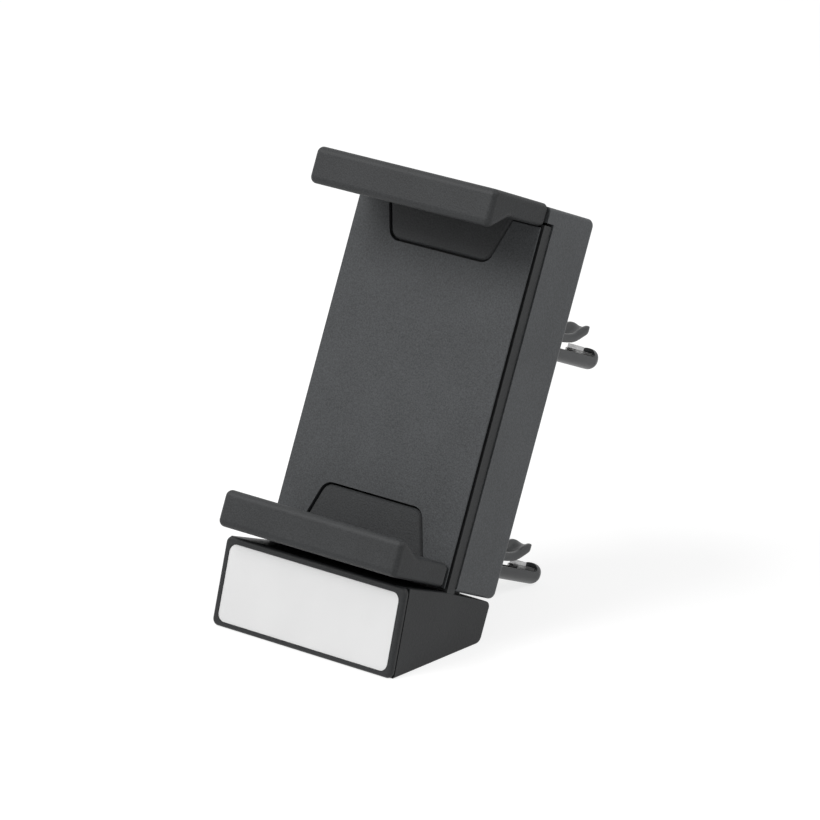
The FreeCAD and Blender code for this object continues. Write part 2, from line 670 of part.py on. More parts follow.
def make_tension_spring(side):
    loop = POST_RADIUS + POST_PLAY + SPRING_WIRE
    x = side * SPRING_X
    shank_low = LOWER_POST_H + loop
    shank_high = UPPER_POST_H - loop
    low = shank_low + SPRING_SHANK
    high = shank_high - SPRING_SHANK
    coil = coil_spring(SPRING_TURNS, high - low, SPRING_COIL, SPRING_WIRE)
    coil.translate(FreeCAD.Vector(x, SPRING_D, low))
    across_d = FreeCAD.Vector(0, 1, 0)
    pieces = [coil]
    for post, near, far in ((LOWER_POST_H, shank_low, low), (UPPER_POST_H, shank_high, high)):
        centre = FreeCAD.Vector(x, SPRING_D, post)
        pieces.append(Part.makeTorus(loop, SPRING_WIRE, centre, across_d))
        pieces.append(rod(SPRING_WIRE, (x, SPRING_D, near), (x, SPRING_D, far)))
        pieces.append(rod(SPRING_WIRE, (x, SPRING_D, far), (x + SPRING_COIL, SPRING_D, far)))
        pieces.append(Part.makeSphere(SPRING_WIRE, FreeCAD.Vector(x, SPRING_D, far)))
    return centre_on_foot(stand(pieces[0].multiFuse(pieces[1:])))


# Screws: countersunk or pan heads on plain shanks, with a round drive recess

def countersunk_screw(radius, head, tip, face, x, h):
    """Countersunk screw along d, its head flush with the plane d = face."""
    inward = 1 if tip > face else -1
    depth = head - radius
    under = face + inward * depth
    shank = rod(radius, (x, under, h), (x, tip, h))
    top = cone(head, radius, (x, face, h), (x, under, h))
    return join([top, shank])


def drive_recess(face, inward, x, h):
    return rod(DRIVE_RADIUS, (x, face, h), (x, face + inward * DRIVE_DEPTH, h))


def housing_screw_hole(h):
    tip = HOUSING_REAR - HOUSING_SCREW_LENGTH
    return countersunk_screw(HOUSING_SCREW_RADIUS, HOUSING_SCREW_HEAD, tip, HOUSING_REAR, HOUSING_SCREW_X, h)


def make_housing_screws():
    screws = []
    for h in HOUSING_SCREW_H:
        screw = housing_screw_hole(h).cut(drive_recess(HOUSING_REAR, -1, HOUSING_SCREW_X, h))
        screws += both_sides(screw)
    return centre_on_foot(stand(Part.makeCompound(screws)))


def lower_screw_body():
    tip = PANEL_FRONT + SCREW_TIP_COVER
    return countersunk_screw(JAW_SCREW_RADIUS, JAW_SCREW_HEAD, tip, FLOOR_BACK, LOWER_SCREW_X, LOWER_SCREW_H)


def make_lower_jaw_screws():
    screw = lower_screw_body().cut(drive_recess(FLOOR_BACK, -1, LOWER_SCREW_X, LOWER_SCREW_H))
    return centre_on_foot(stand(Part.makeCompound(both_sides(screw))))


def slider_screw_body():
    tip = PANEL_FRONT + SCREW_TIP_COVER
    x = SLIDER_SCREW_X
    return countersunk_screw(JAW_SCREW_RADIUS, JAW_SCREW_HEAD, tip, SLIDER_BACK, x, SLIDER_SCREW_H)


def make_slider_screws():
    screw = slider_screw_body().cut(drive_recess(SLIDER_BACK, -1, SLIDER_SCREW_X, SLIDER_SCREW_H))
    return centre_on_foot(stand(Part.makeCompound(both_sides(screw))))


def clip_screw_hole(row):
    h = row + CLIP_SCREW_RISE
    tip = HOUSING_REAR + CLIP_SCREW_BITE
    return rod(CLIP_SCREW_RADIUS, (CLIP_X, HOUSING_INNER_REAR, h), (CLIP_X, tip, h))


def make_clip_screws():
    screws = []
    for row in CLIP_ROWS.values():
        h = row + CLIP_SCREW_RISE
        top = HOUSING_INNER_REAR - CLIP_SCREW_HEAD_HEIGHT
        head = rod(CLIP_SCREW_HEAD, (CLIP_X, top, h), (CLIP_X, HOUSING_INNER_REAR, h))
        screw = join([head, clip_screw_hole(row)]).cut(drive_recess(top, 1, CLIP_X, h))
        screws += both_sides(screw)
    return centre_on_foot(stand(Part.makeCompound(screws)))


# Vent clips, drawn about x = 0 with the row's datum at h = 0 and then moved to their places

PIN_D = HOUSING_REAR + PIN_BACK
PIN_H = -PIN_DROP
LEVER_TIP = HOUSING_REAR + LEVER_END
LEVER_BOTTOM = -LEVER_RIM - LEVER_HEIGHT


def claw_outline():
    """Side outline of the claw: straight at its root and curving up to a thin tip."""
    root = HOUSING_REAR
    bend = HOUSING_REAR + CLAW_STRAIGHT
    tip = HOUSING_REAR + CLAW_TIP
    quarter = (tip - bend) / 4
    claw_top = CLAW_LOW + CLAW_THICKNESS
    low = [
        FreeCAD.Vector(0, bend, CLAW_LOW),
        FreeCAD.Vector(0, bend + 2 * quarter, CLAW_LOW + CLAW_TIP_RISE * CLAW_UNDER_BEND),
        FreeCAD.Vector(0, tip - quarter / 2, CLAW_LOW + CLAW_TIP_RISE * CLAW_UNDER_END),
        FreeCAD.Vector(0, tip, CLAW_TIP_RISE - CLAW_TIP_THICKNESS / 2),
    ]
    high = [
        FreeCAD.Vector(0, tip - CLAW_TIP_THICKNESS, CLAW_TIP_RISE),
        FreeCAD.Vector(0, bend + 2 * quarter, claw_top + CLAW_TIP_RISE * CLAW_OVER_BEND),
        FreeCAD.Vector(0, bend, claw_top),
    ]
    under = Part.BSplineCurve()
    under.interpolate(low, InitialTangent=FreeCAD.Vector(0, 1, 0), FinalTangent=FreeCAD.Vector(0, 0.1, 1))
    over = Part.BSplineCurve()
    over.interpolate(high, InitialTangent=FreeCAD.Vector(0, -1, -0.5), FinalTangent=FreeCAD.Vector(0, -1, 0))
    nose = Part.Arc(
        low[3],
        FreeCAD.Vector(
            0,
            tip - CLAW_TIP_THICKNESS * CLAW_NOSE_BACK,
            CLAW_TIP_RISE - CLAW_TIP_THICKNESS * CLAW_NOSE_DROP,
        ),
        high[0],
    )
    corner_low = FreeCAD.Vector(0, root, CLAW_LOW)
    corner_high = FreeCAD.Vector(0, root, claw_top)
    return Part.Face(Part.Wire([
        Part.LineSegment(corner_low, low[0]).toShape(),
        under.toShape(),
        nose.toShape(),
        over.toShape(),
        Part.LineSegment(high[2], corner_high).toShape(),
        Part.LineSegment(corner_high, corner_low).toShape(),
    ]))


def round_nosed_plan(half, root, tip, nose):
    """Plan outline in (x, d): straight sides and a half-ellipse nose of the given length."""
    start = tip - nose
    left = FreeCAD.Vector(-half, start, 0)
    right = FreeCAD.Vector(half, start, 0)
    arc = Part.Arc(left, FreeCAD.Vector(0, start + half, 0), right).toShape()
    stretch = FreeCAD.Matrix()
    stretch.move(0, -start, 0)
    stretch.scale(1, nose / half, 1)
    stretch.move(0, start, 0)
    low_left = FreeCAD.Vector(-half, root, 0)
    low_right = FreeCAD.Vector(half, root, 0)
    return Part.Face(Part.Wire([
        arc.transformGeometry(stretch).Edges[0],
        Part.LineSegment(right, low_right).toShape(),
        Part.LineSegment(low_right, low_left).toShape(),
        Part.LineSegment(low_left, left).toShape(),
    ]))


def make_claw():
    """Bracket with two ears for the hinge pin and the fixed upper prong."""
    half = CLIP_WIDTH / 2
    prong = claw_outline()
    prong.translate(FreeCAD.Vector(-half, 0, 0))
    prong = prong.extrude(FreeCAD.Vector(CLIP_WIDTH, 0, 0))
    tip = HOUSING_REAR + CLAW_TIP
    nose = CLAW_TIP - CLAW_STRAIGHT
    plan = round_nosed_plan(half, HOUSING_REAR, tip, nose)
    plan.translate(FreeCAD.Vector(0, 0, -CLIP_FOOT_BELOW))
    prong = prong.common(plan.extrude(FreeCAD.Vector(0, 0, 4 * CLIP_FOOT_BELOW)))
    dish_h = CLAW_LOW + CLAW_THICKNESS + CLAW_DISH_RADIUS - CLAW_DISH_DEPTH
    rise = math.tan(math.radians(CLAW_DISH_SLOPE))
    start = HOUSING_REAR + CLAW_STRAIGHT - nose
    dish = rod(CLAW_DISH_RADIUS, (0, start, dish_h - nose * rise), (0, tip + nose, dish_h + 2 * nose * rise))
    prong = prong.cut(dish)
    foot_half = CLIP_FOOT_HALF_WIDTH
    foot_back = HOUSING_REAR + CLIP_FOOT_THICKNESS
    corners = [
        (-foot_half, -CLIP_FOOT_BELOW, CLIP_CORNER_RADIUS),
        (foot_half, -CLIP_FOOT_BELOW, CLIP_CORNER_RADIUS),
        (foot_half, CLIP_FOOT_ABOVE, CLIP_CORNER_RADIUS),
        (-foot_half, CLIP_FOOT_ABOVE, CLIP_CORNER_RADIUS),
    ]
    foot = back_from(corners, HOUSING_REAR, foot_back)
    root_back = HOUSING_REAR + CLIP_ROOT_LENGTH
    root = block(-half, half, HOUSING_REAR, root_back, -CLIP_ROOT_BELOW, CLAW_LOW + CLAW_THICKNESS)
    ear_in = half + EAR_GAP
    ear_out = ear_in + EAR_THICKNESS
    ear_top = CLAW_LOW + CLAW_THICKNESS
    ear = across(
        [
            (HOUSING_REAR, PIN_H - EAR_RADIUS, 0),
            (PIN_D + EAR_RADIUS, PIN_H - EAR_RADIUS, EAR_RADIUS * FULL_ROUND),
            (PIN_D + EAR_RADIUS, PIN_H + EAR_RADIUS, EAR_RADIUS * FULL_ROUND),
            (root_back + EAR_RADIUS, ear_top, CLIP_CORNER_RADIUS),
            (HOUSING_REAR, ear_top, 0),
        ],
        ear_in,
        ear_out,
    )
    bridge = block(-ear_out, ear_out, HOUSING_REAR, root_back, CLAW_LOW, ear_top)
    bracket = join([foot, root, bridge, prong] + both_sides(ear))
    bore = rod(PIN_RADIUS, (-ear_out - PAST, PIN_D, PIN_H), (ear_out + PAST, PIN_D, PIN_H))
    screw_end = HOUSING_REAR + CLIP_SCREW_BITE
    screw = rod(CLIP_SCREW_RADIUS, (0, HOUSING_REAR, CLIP_SCREW_RISE), (0, screw_end, CLIP_SCREW_RISE))
    return trim(bracket, [bore, screw])


def make_lever():
    """Channel-shaped lower prong with a round tip, two eyes and a heel behind the pin."""
    half = CLIP_WIDTH / 2
    heel = PIN_D - LEVER_HEEL
    side = across(
        [
            (heel, LEVER_BOTTOM, LEVER_TOP_RADIUS),
            (LEVER_TIP, LEVER_BOTTOM, LEVER_END_RADIUS * FULL_ROUND),
            (LEVER_TIP, -LEVER_RIM, LEVER_TIP_EDGE_RADIUS),
            (heel, -LEVER_RIM, LEVER_TOP_RADIUS),
        ],
        -half,
        half,
    )
    eye = rod(LEVER_EYE_RADIUS, (-half, PIN_D, PIN_H), (half, PIN_D, PIN_H))
    body = join([side, eye])
    plan = round_nosed_plan(half, heel - PAST, LEVER_TIP, half)
    plan.translate(FreeCAD.Vector(0, 0, -2 * CLIP_FOOT_BELOW))
    body = body.common(plan.extrude(FreeCAD.Vector(0, 0, 4 * CLIP_FOOT_BELOW)))
    inner = half - LEVER_WALL
    floor_top = LEVER_BOTTOM + LEVER_WALL
    channel = round_nosed_plan(inner, PIN_D, LEVER_TIP - LEVER_WALL, inner)
    channel.translate(FreeCAD.Vector(0, 0, floor_top))
    channel = channel.extrude(FreeCAD.Vector(0, 0, CLIP_FOOT_BELOW))
    window_front = heel + LEVER_HEEL_WEB
    window = block(-inner, inner, window_front, PIN_D + COIL_WINDOW, -2 * CLIP_FOOT_BELOW, CLIP_FOOT_BELOW)
    heel_space = block(-inner, inner, heel - PAST, PIN_D, floor_top, CLIP_FOOT_BELOW)
    bore = rod(PIN_RADIUS + PIN_CLEARANCE, (-half - PAST, PIN_D, PIN_H), (half + PAST, PIN_D, PIN_H))
    return trim(body, [channel, window, heel_space, bore])


def make_pad():
    inner = CLIP_WIDTH / 2 - LEVER_WALL - PAD_SIDE_GAP
    floor_top = LEVER_BOTTOM + LEVER_WALL
    radius = PAD_SIDE_GAP
    low = HOUSING_REAR + PAD_START
    high = HOUSING_REAR + PAD_END
    points = [(-inner, low, radius), (inner, low, radius), (inner, high, radius), (-inner, high, radius)]
    return up_from(points, floor_top, -PAD_TOP)


def make_hinge_pin():
    reach = CLIP_WIDTH / 2 + EAR_GAP + EAR_THICKNESS
    return rod(PIN_RADIUS, (-reach, PIN_D, PIN_H), (reach, PIN_D, PIN_H))


def tangent_leg(x, target_d, target_h, upper):
    """Straight leg from the coil's rim to a target behind the pin."""
    d = target_d - PIN_D
    h = target_h - PIN_H
    distance = math.hypot(d, h)
    towards = math.atan2(h, d)
    swing = math.acos(TORSION_COIL / distance)
    angle = towards - swing if upper else towards + swing
    start = (x, PIN_D + TORSION_COIL * math.cos(angle), PIN_H + TORSION_COIL * math.sin(angle))
    return [
        rod(TORSION_WIRE, start, (x, target_d, target_h)),
        Part.makeSphere(TORSION_WIRE, FreeCAD.Vector(*start)),
    ], angle


def make_torsion_spring():
    """Coil round the hinge pin; one leg bears on the claw's root and one on the lever's heel."""
    target_d = PIN_D - TORSION_LEG
    floor_top = LEVER_BOTTOM + LEVER_WALL
    offset = TORSION_WIRE + TORSION_REST_GAP
    length = TORSION_TURNS * TORSION_PITCH
    low_legs, low_angle = tangent_leg(-length / 2, target_d, floor_top + offset, True)
    high_legs, high_angle = tangent_leg(length / 2, target_d, CLAW_LOW - offset, True)
    extra = (high_angle - low_angle) % (2 * math.pi) / (2 * math.pi)
    turns = TORSION_TURNS + extra
    coil = coil_spring(turns, length, TORSION_COIL, TORSION_WIRE)
    turn = FreeCAD.Rotation(0.5, 0.5, 0.5, 0.5)
    coil.Placement = FreeCAD.Placement(FreeCAD.Vector(-length / 2, PIN_D, PIN_H), turn)
    coil.rotate(FreeCAD.Vector(0, PIN_D, PIN_H), FreeCAD.Vector(1, 0, 0), math.degrees(low_angle))
    pieces = [coil] + low_legs + high_legs
    return pieces[0].multiFuse(pieces[1:])


def lever_prop_angle(row):
    """Turn about the pin that sets the lever's round tip on the ground, for a row that reaches it."""
    pin = body_point(PIN_D, row + PIN_H)
    radius = LEVER_END_RADIUS * FULL_ROUND
    centre = body_point(LEVER_TIP - radius, row + LEVER_BOTTOM + radius)
    reach = math.hypot(centre[0] - pin[0], centre[1] - pin[1])
    rest = math.atan2(centre[1] - pin[1], centre[0] - pin[0])
    if centre[1] - radius > 0:
        return 0.0
    return math.degrees(math.asin((radius - pin[1]) / reach) - rest)


def place_clip(shape, x, row):
    placed = shape.copy()
    placed.translate(FreeCAD.Vector(x, 0, row))
    return centre_on_foot(stand(placed))


def make_clips():
    clips = {}
    fixed = {
        "claw": make_claw(),
        "hinge_pin": make_hinge_pin(),
        "torsion_spring": make_torsion_spring(),
    }
    moving = {"lever": make_lever(), "pad": make_pad()}
    axis = FreeCAD.Vector(1, 0, 0)
    pin = FreeCAD.Vector(0, PIN_D, PIN_H)
    for row_name, row in CLIP_ROWS.items():
        angle = lever_prop_angle(row)
        for side_name, x in (("left", -CLIP_X), ("right", CLIP_X)):
            name = row_name + "_" + side_name + "_"
            for piece, shape in fixed.items():
                clips[name + piece] = place_clip(shape, x, row)
            for piece, shape in moving.items():
                turned = shape.copy()
                turned.rotate(pin, axis, angle)
                clips[name + piece] = place_clip(turned, x, row)
    return clips


def build():
    nodes = {
        "base_frame": make_frame(),
        "rear_housing": make_housing(),
        "face_panel": make_panel(),
        "front_bezel": centre_on_foot(make_bezel()),
        "front_insert": centre_on_foot(make_insert()),
        "upper_jaw": make_upper_jaw(),
        "jaw_slider": make_slider(),
        "lower_jaw": make_lower_jaw(),
        "left_tension_spring": make_tension_spring(-1),
        "right_tension_spring": make_tension_spring(1),
        "housing_screws": make_housing_screws(),
        "slider_screws": make_slider_screws(),
        "lower_jaw_screws": make_lower_jaw_screws(),
        "clip_screws": make_clip_screws(),
    }
    nodes.update(make_clips())
    return nodes


os.makedirs("parts", exist_ok=True)
for node, solid in build().items():
    solid.exportStep("parts/" + node + ".step")
    print(node, len(solid.Solids), round(solid.Volume, 1), solid.isValid())
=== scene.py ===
import json
import math

import bmesh
import bpy
from mathutils import Matrix, Vector


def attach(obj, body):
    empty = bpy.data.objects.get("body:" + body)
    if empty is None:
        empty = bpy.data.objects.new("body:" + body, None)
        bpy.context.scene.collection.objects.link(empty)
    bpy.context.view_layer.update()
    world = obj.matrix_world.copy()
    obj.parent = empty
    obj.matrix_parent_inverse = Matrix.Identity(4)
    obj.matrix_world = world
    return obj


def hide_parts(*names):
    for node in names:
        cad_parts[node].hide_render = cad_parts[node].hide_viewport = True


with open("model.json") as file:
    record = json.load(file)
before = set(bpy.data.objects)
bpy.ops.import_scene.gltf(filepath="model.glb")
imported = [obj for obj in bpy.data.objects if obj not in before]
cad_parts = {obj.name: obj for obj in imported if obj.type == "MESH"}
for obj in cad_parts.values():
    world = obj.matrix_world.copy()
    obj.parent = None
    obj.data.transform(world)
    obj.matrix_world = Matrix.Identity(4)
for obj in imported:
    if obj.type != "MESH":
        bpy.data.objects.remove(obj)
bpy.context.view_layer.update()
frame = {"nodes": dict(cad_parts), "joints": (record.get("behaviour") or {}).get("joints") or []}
scene = bpy.context.scene
nodes = frame["nodes"]

CLIPS = ("upper_left", "upper_right", "lower_left", "lower_right")
MM = 0.001

# Camera, from the fit to the photograph: millimetres, measured from the foot's front edge
FOCAL_PIXELS = 6500
PICTURE_PIXELS = 820
SENSOR = 36.0
AZIMUTH = math.radians(40.648)
ELEVATION = math.radians(18.903)
TARGET = Vector((0.21, 15.0, 40.0))
PAN = 8.845
LIFT = -0.461
DISTANCE = 1096.19
FOOT_HALF_DEPTH = 11.834


def make_camera():
    """Camera that sees the object as the photograph does."""
    right = Vector((math.cos(AZIMUTH), math.sin(AZIMUTH), 0.0))
    back = Vector((
        math.sin(AZIMUTH) * math.cos(ELEVATION),
        -math.cos(AZIMUTH) * math.cos(ELEVATION),
        math.sin(ELEVATION),
    ))
    up = back.cross(right)
    place = TARGET + right * PAN + up * LIFT + back * DISTANCE
    place.y -= FOOT_HALF_DEPTH
    data = bpy.data.cameras.new("camera")
    data.lens = FOCAL_PIXELS / PICTURE_PIXELS * SENSOR
    data.sensor_width = SENSOR
    data.clip_start = 0.05
    data.clip_end = 20.0
    camera = bpy.data.objects.new("camera", data)
    turn = Matrix((right, up, back)).transposed().to_4x4()
    camera.matrix_world = Matrix.Translation(place * MM) @ turn
    scene.collection.objects.link(camera)
    scene.camera = camera


# Materials

PLASTIC_WARMTH = -0.05      # the black plastics are a little blue
MOTTLE = 3.0                # levels by which their tone changes slowly
MOTTLE_SIZE = 9.0
NOISE_REACH = 0.18          # noise seldom strays further than this from its middle
SHEEN_REACH = 0.06
PLASTIC_SPECULAR = 0.3
CLIP_SPECULAR = 0.5
SCRATCH_DARK = 14           # levels by which the steel's scratches are darker and lighter
SCRATCH_LIGHT = 8
RUBBER_IOR = 1.12           # low, so that the small clear blocks show what is behind them


class Nodes:
    """Short calls for building a node material."""

    def __init__(self, name):
        self.material = bpy.data.materials.new(name)
        self.material.use_nodes = True
        self.tree = self.material.node_tree
        self.tree.nodes.clear()
        self.out = self.add("ShaderNodeOutputMaterial")
        self.shader = self.add("ShaderNodeBsdfPrincipled")
        self.link(self.shader.outputs[0], self.out.inputs["Surface"])
        self.place = self.add("ShaderNodeTexCoord").outputs["Object"]

    def add(self, kind, **values):
        node = self.tree.nodes.new(kind)
        for key, value in values.items():
            setattr(node, key, value)
        return node

    def link(self, a, b):
        self.tree.links.new(a, b)

    def set(self, socket, value):
        self.shader.inputs[socket].default_value = value

    def noise(self, size_mm, detail=2.0, roughness=0.5, stretch=None):
        """Noise whose features are about the given size in millimetres."""
        node = self.add("ShaderNodeTexNoise")
        node.inputs["Scale"].default_value = 1.0 / (size_mm * MM)
        node.inputs["Detail"].default_value = detail
        node.inputs["Roughness"].default_value = roughness
        source = self.place
        if stretch:
            mapping = self.add("ShaderNodeMapping")
            mapping.inputs["Scale"].default_value = stretch
            self.link(source, mapping.inputs["Vector"])
            source = mapping.outputs["Vector"]
        self.link(source, node.inputs["Vector"])
        return node.outputs["Fac"]

    def spread(self, source, low, high, start=0.3, end=0.7):
        """Map a factor from start..end to low..high."""
        node = self.add("ShaderNodeMapRange")
        node.inputs["From Min"].default_value = start
        node.inputs["From Max"].default_value = end
        node.inputs["To Min"].default_value = low
        node.inputs["To Max"].default_value = high
        self.link(source, node.inputs["Value"])
        return node.outputs["Result"]

    def ramp(self, source, stops):
        node = self.add("ShaderNodeValToRGB")
        ramp = node.color_ramp
        while len(ramp.elements) < len(stops):
            ramp.elements.new(0.5)
        for element, (place, colour) in zip(ramp.elements, stops):
            element.position = place
            element.color = (*colour, 1.0)
        self.link(source, node.inputs["Fac"])
        return node.outputs["Color"]

    def add_up(self, a, b, share):
        """a + b * share."""
        node = self.add("ShaderNodeMath", operation="MULTIPLY_ADD")
        self.link(b, node.inputs[0])
        node.inputs[1].default_value = share
        self.link(a, node.inputs[2])
        return node.outputs[0]

    def bump(self, height, depth_mm):
        node = self.add("ShaderNodeBump")
        node.inputs["Distance"].default_value = depth_mm * MM
        node.inputs["Strength"].default_value = 1.0
        self.link(height, node.inputs["Height"])
        self.link(node.outputs["Normal"], self.shader.inputs["Normal"])


def grey(value, warmth=0.0):
    """Linear colour of an sRGB grey from 0 to 255, tinted a little."""
    level = value / 255.0
    linear = ((level + 0.055) / 1.055) ** 2.4
    return (linear * (1 + warmth), linear, linear * (1 - warmth))


def plastic(name, tone, grain_mm, grain_depth, roughness, speck):
    """Moulded plastic: a fine spark-eroded grain, faint specks and a slow change of tone."""
    m = Nodes(name)
    fine = m.noise(grain_mm, detail=3.0, roughness=0.6)
    slow = m.noise(MOTTLE_SIZE)
    share = MOTTLE / speck
    middle = 0.5 + 0.5 * share
    reach = NOISE_REACH * (1 + share)
    tones = m.spread(m.add_up(fine, slow, share), 0.0, 1.0, middle - reach, middle + reach)
    m.link(m.ramp(tones, [
        (0.0, grey(tone - speck, PLASTIC_WARMTH)),
        (1.0, grey(tone + speck, PLASTIC_WARMTH)),
    ]), m.shader.inputs["Base Color"])
    m.link(m.spread(fine, roughness - SHEEN_REACH, roughness + SHEEN_REACH), m.shader.inputs["Roughness"])
    m.set("Specular IOR Level", PLASTIC_SPECULAR)
    m.bump(fine, grain_depth)
    return m


def steel(name, tone, brush):
    """Bright steel with fine scratches along one axis."""
    m = Nodes(name)
    m.set("Metallic", 1.0)
    scratches = m.noise(0.25, detail=4.0, stretch=brush)
    m.link(m.ramp(m.spread(scratches, 0.0, 1.0), [
        (0.0, grey(tone - SCRATCH_DARK)),
        (1.0, grey(tone + SCRATCH_LIGHT)),
    ]), m.shader.inputs["Base Color"])
    m.link(m.spread(scratches, 0.22, 0.42), m.shader.inputs["Roughness"])
    m.bump(scratches, 0.004)
    return m.material


def white_insert():
    """Bare white plate with a slight sheen."""
    m = Nodes("white_insert")
    grain = m.noise(0.12)
    slow = m.noise(12.0)
    m.link(m.ramp(m.spread(slow, 0.0, 1.0), [
        (0.0, grey(228)),
        (1.0, grey(232)),
    ]), m.shader.inputs["Base Color"])
    m.link(m.spread(grain, 0.34, 0.42), m.shader.inputs["Roughness"])
    m.bump(grain, 0.004)
    return m.material


def clear_rubber():
    """Cloudy clear rubber of the pads."""
    m = Nodes("clear_rubber")
    grain = m.noise(0.3)
    m.link(m.ramp(m.spread(grain, 0.0, 1.0), [
        (0.0, grey(185)),
        (1.0, grey(200)),
    ]), m.shader.inputs["Base Color"])
    m.link(m.spread(grain, 0.3, 0.42), m.shader.inputs["Roughness"])
    m.set("Transmission Weight", 0.85)
    m.set("IOR", RUBBER_IOR)
    m.set("Subsurface Weight", 0.2)
    m.set("Subsurface Radius", (0.001, 0.001, 0.001))
    m.bump(grain, 0.01)
    return m.material


soft_touch = plastic(
    "soft_touch_plastic", tone=64, grain_mm=0.3, grain_depth=0.05, roughness=0.6, speck=14.0)
jaw_plastic = plastic(
    "jaw_plastic", tone=43, grain_mm=0.3, grain_depth=0.05, roughness=0.55, speck=11.0)
housing = plastic(
    "textured_plastic", tone=77, grain_mm=0.3, grain_depth=0.04, roughness=0.5, speck=12.0)
foot_plastic = plastic(
    "foot_plastic", tone=38, grain_mm=0.3, grain_depth=0.04, roughness=0.5, speck=9.0)
nylon = plastic(
    "dark_nylon", tone=34, grain_mm=0.2, grain_depth=0.01, roughness=0.5, speck=5.0)
clip_plastic = plastic(
    "clip_plastic", tone=59, grain_mm=0.14, grain_depth=0.006, roughness=0.36, speck=4.0)
clip_plastic.set("Specular IOR Level", CLIP_SPECULAR)
RUBBER = clear_rubber()
SPRING = steel("spring_steel", tone=178, brush=(1.0, 1.0, 6.0))
SCREW = steel("screw_steel", tone=170, brush=(1.0, 8.0, 1.0))

FINISH = {
    "base_frame": foot_plastic.material,
    "rear_housing": housing.material,
    "face_panel": soft_touch.material,
    "front_bezel": foot_plastic.material,
    "front_insert": white_insert(),
    "upper_jaw": jaw_plastic.material,
    "lower_jaw": jaw_plastic.material,
    "jaw_slider": nylon.material,
    "left_tension_spring": SPRING,
    "right_tension_spring": SPRING,
    "housing_screws": SCREW,
    "slider_screws": SCREW,
    "lower_jaw_screws": SCREW,
    "clip_screws": SCREW,
}
for clip in CLIPS:
    FINISH[clip + "_claw"] = clip_plastic.material
    FINISH[clip + "_lever"] = clip_plastic.material
    FINISH[clip + "_pad"] = RUBBER
    FINISH[clip + "_hinge_pin"] = SCREW
    FINISH[clip + "_torsion_spring"] = SPRING

for name, material in FINISH.items():
    mesh = nodes[name].data
    mesh.materials.clear()
    mesh.materials.append(material)
    for face in mesh.polygons:
        face.material_index = 0


# Vent clips: the visible claws, levers and pads, in millimetres about each hinge pin.
# d runs back along the leaning body and h up along it, and a row's datum lies above the pin.

LEAN = math.radians(23.3)
PIN_BACK = 6.9              # d of the hinge pin
PIN_DROP = 2.15             # the pin lies this far below its row's datum
ROW_SHIFT = {"upper": -0.25, "lower": 0.15}
SIDE_SHIFT = 1.15           # the visible clips stand further out than the solids
SHARP_ANGLE = math.radians(38)
BEVEL_ANGLE = math.radians(50)
TOOL_REACH = 8.0            # a cutting body ends this far out, past every piece
LID_HEIGHT = 6.0            # what lies above a rim is cut up to this far above it
LID_HALF = 3.0

# Claw, with its heights at d above the row's datum
CLAW_HALF = 2.3
CLAW_ROOT = 11.2
CLAW_NECK = 12.0
CLAW_OVERLAP = 0.4          # the prong runs this far into what is kept of the solid's bracket
CLAW_CLEAR = 0.15
CLAW_CLEAR_DROP = 1.2
CLAW_CLEAR_END = 37.0
CLAW_NOSE = 1.4             # length of the tip over which its plan is rounded
CLAW_TIP = 20.2
CLAW_ROUND = 0.8            # length of the tip over which its thickness runs out
CLAW_UNDER = (
    (3.0, -0.15), (12.6, -0.15), (15.5, 0.15), (16.6, 0.48), (17.6, 1.02), (18.6, 1.72), (20.2, 2.75),
)
CLAW_RIM = ((3.0, 1.45), (12.6, 1.5), (14.5, 1.65), (16.1, 2.15), (17.5, 3.15), (18.95, 3.78), (20.2, 3.65))
CLAW_DISH = ((3.0, 0.0), (10.5, 0.3), (14.0, 0.8), (17.5, 1.1), (19.0, 0.6), (20.2, 0.0))
CLAW_SIDE_POWER = 0.3       # of the belly's superellipse
CLAW_BELLY_POWER = 0.35
CLAW_EDGE_SHARE = 0.2       # rim's width as a share of the half width
CLAW_SOFT = 0.22            # rounding of the rim
CLAW_DISH_SHARE = 0.55      # the dish takes at most this share of the thickness
CLAW_DISH_DROP = 0.02
EDGE_BREAK = 0.3            # where the rim's rounding bends, as shares of its width and depth
SOFT_BREAK = 0.2
DISH_INSET = 1.6            # the dish starts this many rim widths in
CLAW_SECTIONS = 20
CLAW_SECTION_STEP = 0.31
CLAW_TIP_SECTIONS = 14
BELLY_STEPS = 24
DISH_STEPS = 16
LEAST_WIDTH = 1e-4          # squares of the shares that are left at the very tip
LEAST_THICKNESS = 1e-3

# Lever, a trough on a round bar with a ball end
LEVER_HALF = 1.85
LEVER_MIDDLE = -1.72        # axis of the trough below the row's datum
LEVER_RIM = -1.2
LEVER_END = 25.7
LEVER_WALL = 0.55
LEVER_SQUARE = 0.82         # power that makes the upper half squarer than a circle
LEVER_BEVEL = 0.1
LEVER_OFF_GROUND = 0.02
NOSE_FRONT = 23.4
NOSE_WALL = 0.15
NOSE_FILLET = 0.5
NOSE_STEPS = 6
MOUTH_RISE = 1.0
KNUCKLE_END = 9.8           # the solid's knuckle is kept up to here
KNUCKLE_HALF = 4.0
KNUCKLE_OVERLAP = 1.0
KNUCKLE_CLEAR = 2.0
BAR_SIDES = 56
BALL_RINGS = 16

# Rubber pad
PAD_HALF = 1.0
PAD_START = 18.6
PAD_END = 20.8
PAD_TOP = 0.08
PAD_BASE_START = 18.5
PAD_BASE_TOP = -0.68
PAD_BASE_GAP = 0.2
PAD_SIDE_GAP = 0.05
PAD_FLOOR_DROP = 0.6
PAD_BLOCK_RISE = 0.3
PAD_BEVEL = 0.08


